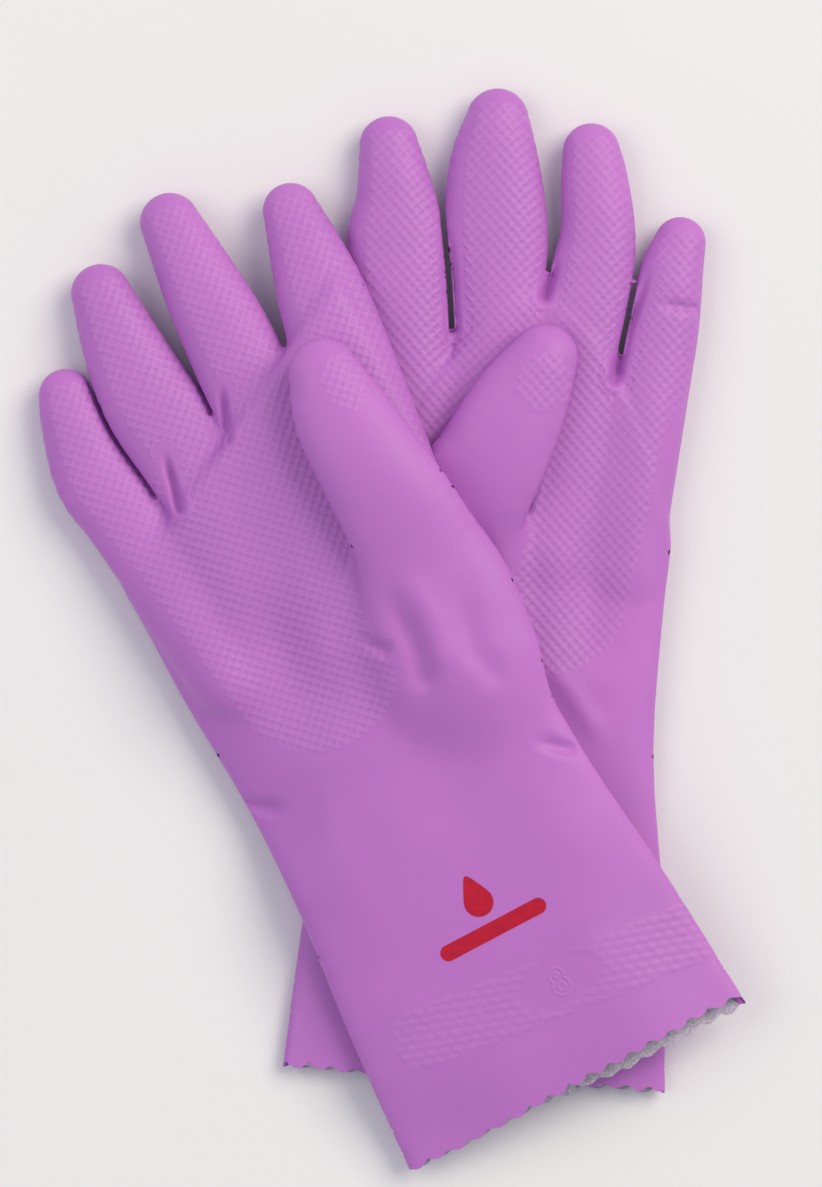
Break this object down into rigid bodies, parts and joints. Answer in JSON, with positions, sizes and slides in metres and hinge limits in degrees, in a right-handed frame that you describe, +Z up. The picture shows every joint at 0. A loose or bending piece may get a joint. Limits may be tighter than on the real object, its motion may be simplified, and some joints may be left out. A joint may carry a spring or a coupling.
{
  "type": "rubber gloves",
  "caption": "Pair of embossed household rubber gloves lying palm up and crossed, with flexing fingers and thumbs.",
  "frame": {"origin": "bottom centre of the pair's bounding box, on the surface the gloves lie on", "axes": "+Z up, +Y from the cuffs towards the fingertips of the left-hand glove, +X towards the left-hand glove's little finger"},
  "size_m": [0.2159, 0.3328, 0.048],
  "materials": {
    "latex": "dipped natural rubber, satin, with an embossed lattice grip on the palm side",
    "flock": "short cotton flock, matte",
    "ink": "printed red ink, matte"
  },
  "bodies": {
    "left_palm": {"left_hand_skin": "latex", "left_hand_lining": "flock", "left_print": "ink"},
    "left_index": {"left_index_skin": "latex", "left_index_lining": "flock"},
    "left_middle": {"left_middle_skin": "latex", "left_middle_lining": "flock"},
    "left_ring": {"left_ring_skin": "latex", "left_ring_lining": "flock"},
    "left_little": {"left_little_skin": "latex", "left_little_lining": "flock"},
    "left_thumb": {"left_thumb_skin": "latex", "left_thumb_lining": "flock"},
    "right_palm": {"right_hand_skin": "latex", "right_hand_lining": "flock", "right_print": "ink"},
    "right_index": {"right_index_skin": "latex", "right_index_lining": "flock"},
    "right_middle": {"right_middle_skin": "latex", "right_middle_lining": "flock"},
    "right_ring": {"right_ring_skin": "latex", "right_ring_lining": "flock"},
    "right_little": {"right_little_skin": "latex", "right_little_lining": "flock"},
    "right_thumb": {"right_thumb_skin": "latex", "right_thumb_lining": "flock"}
  },
  "joints": [
    {"name": "right_glove_lift", "type": "slide", "parent": "left_palm", "child": "right_palm", "axis": [0, 0, 1], "range_m": [0, 0.12]},
    {"name": "left_index_flex", "type": "hinge", "parent": "left_palm", "child": "left_index", "pos_m": [0.00279, 0.12019, 0.0145], "axis": [0.9953, 0.0972, 0], "range_deg": [0, 60]},
    {"name": "left_middle_flex", "type": "hinge", "parent": "left_palm", "child": "left_middle", "pos_m": [0.0333, 0.12258, 0.0147], "axis": [0.9999, -0.016, 0], "range_deg": [0, 60]},
    {"name": "left_ring_flex", "type": "hinge", "parent": "left_palm", "child": "left_ring", "pos_m": [0.0628, 0.1109, 0.0146], "axis": [0.9998, 0.0177, 0], "range_deg": [0, 60]},
    {"name": "left_little_flex", "type": "hinge", "parent": "left_palm", "child": "left_little", "pos_m": [0.08362, 0.0881, 0.014], "axis": [0.9805, -0.1966, 0], "range_deg": [0, 60]},
    {"name": "left_thumb_flex", "type": "hinge", "parent": "left_palm", "child": "left_thumb", "pos_m": [0.03183, 0.05376, 0.029], "axis": [0.8696, -0.4937, 0], "range_deg": [0, 60]},
    {"name": "right_index_flex", "type": "hinge", "parent": "right_palm", "child": "right_index", "pos_m": [-0.01855, 0.09657, 0.02735], "axis": [0.9394, 0.3428, 0], "range_deg": [0, 60]},
    {"name": "right_middle_flex", "type": "hinge", "parent": "right_palm", "child": "right_middle", "pos_m": [-0.05201, 0.09423, 0.02221], "axis": [0.8962, 0.4437, 0], "range_deg": [0, 60]},
    {"name": "right_ring_flex", "type": "hinge", "parent": "right_palm", "child": "right_ring", "pos_m": [-0.07348, 0.07258, 0.01857], "axis": [0.902, 0.4318, 0], "range_deg": [0, 60]},
    {"name": "right_little_flex", "type": "hinge", "parent": "right_palm", "child": "right_little", "pos_m": [-0.08892, 0.04491, 0.01549], "axis": [0.9303, 0.3668, 0], "range_deg": [0, 60]},
    {"name": "right_thumb_flex", "type": "hinge", "parent": "right_palm", "child": "right_thumb", "pos_m": [-0.00436, 0.04822, 0.04796], "axis": [0.8957, 0.4446, 0], "range_deg": [0, 60]}
  ]
}
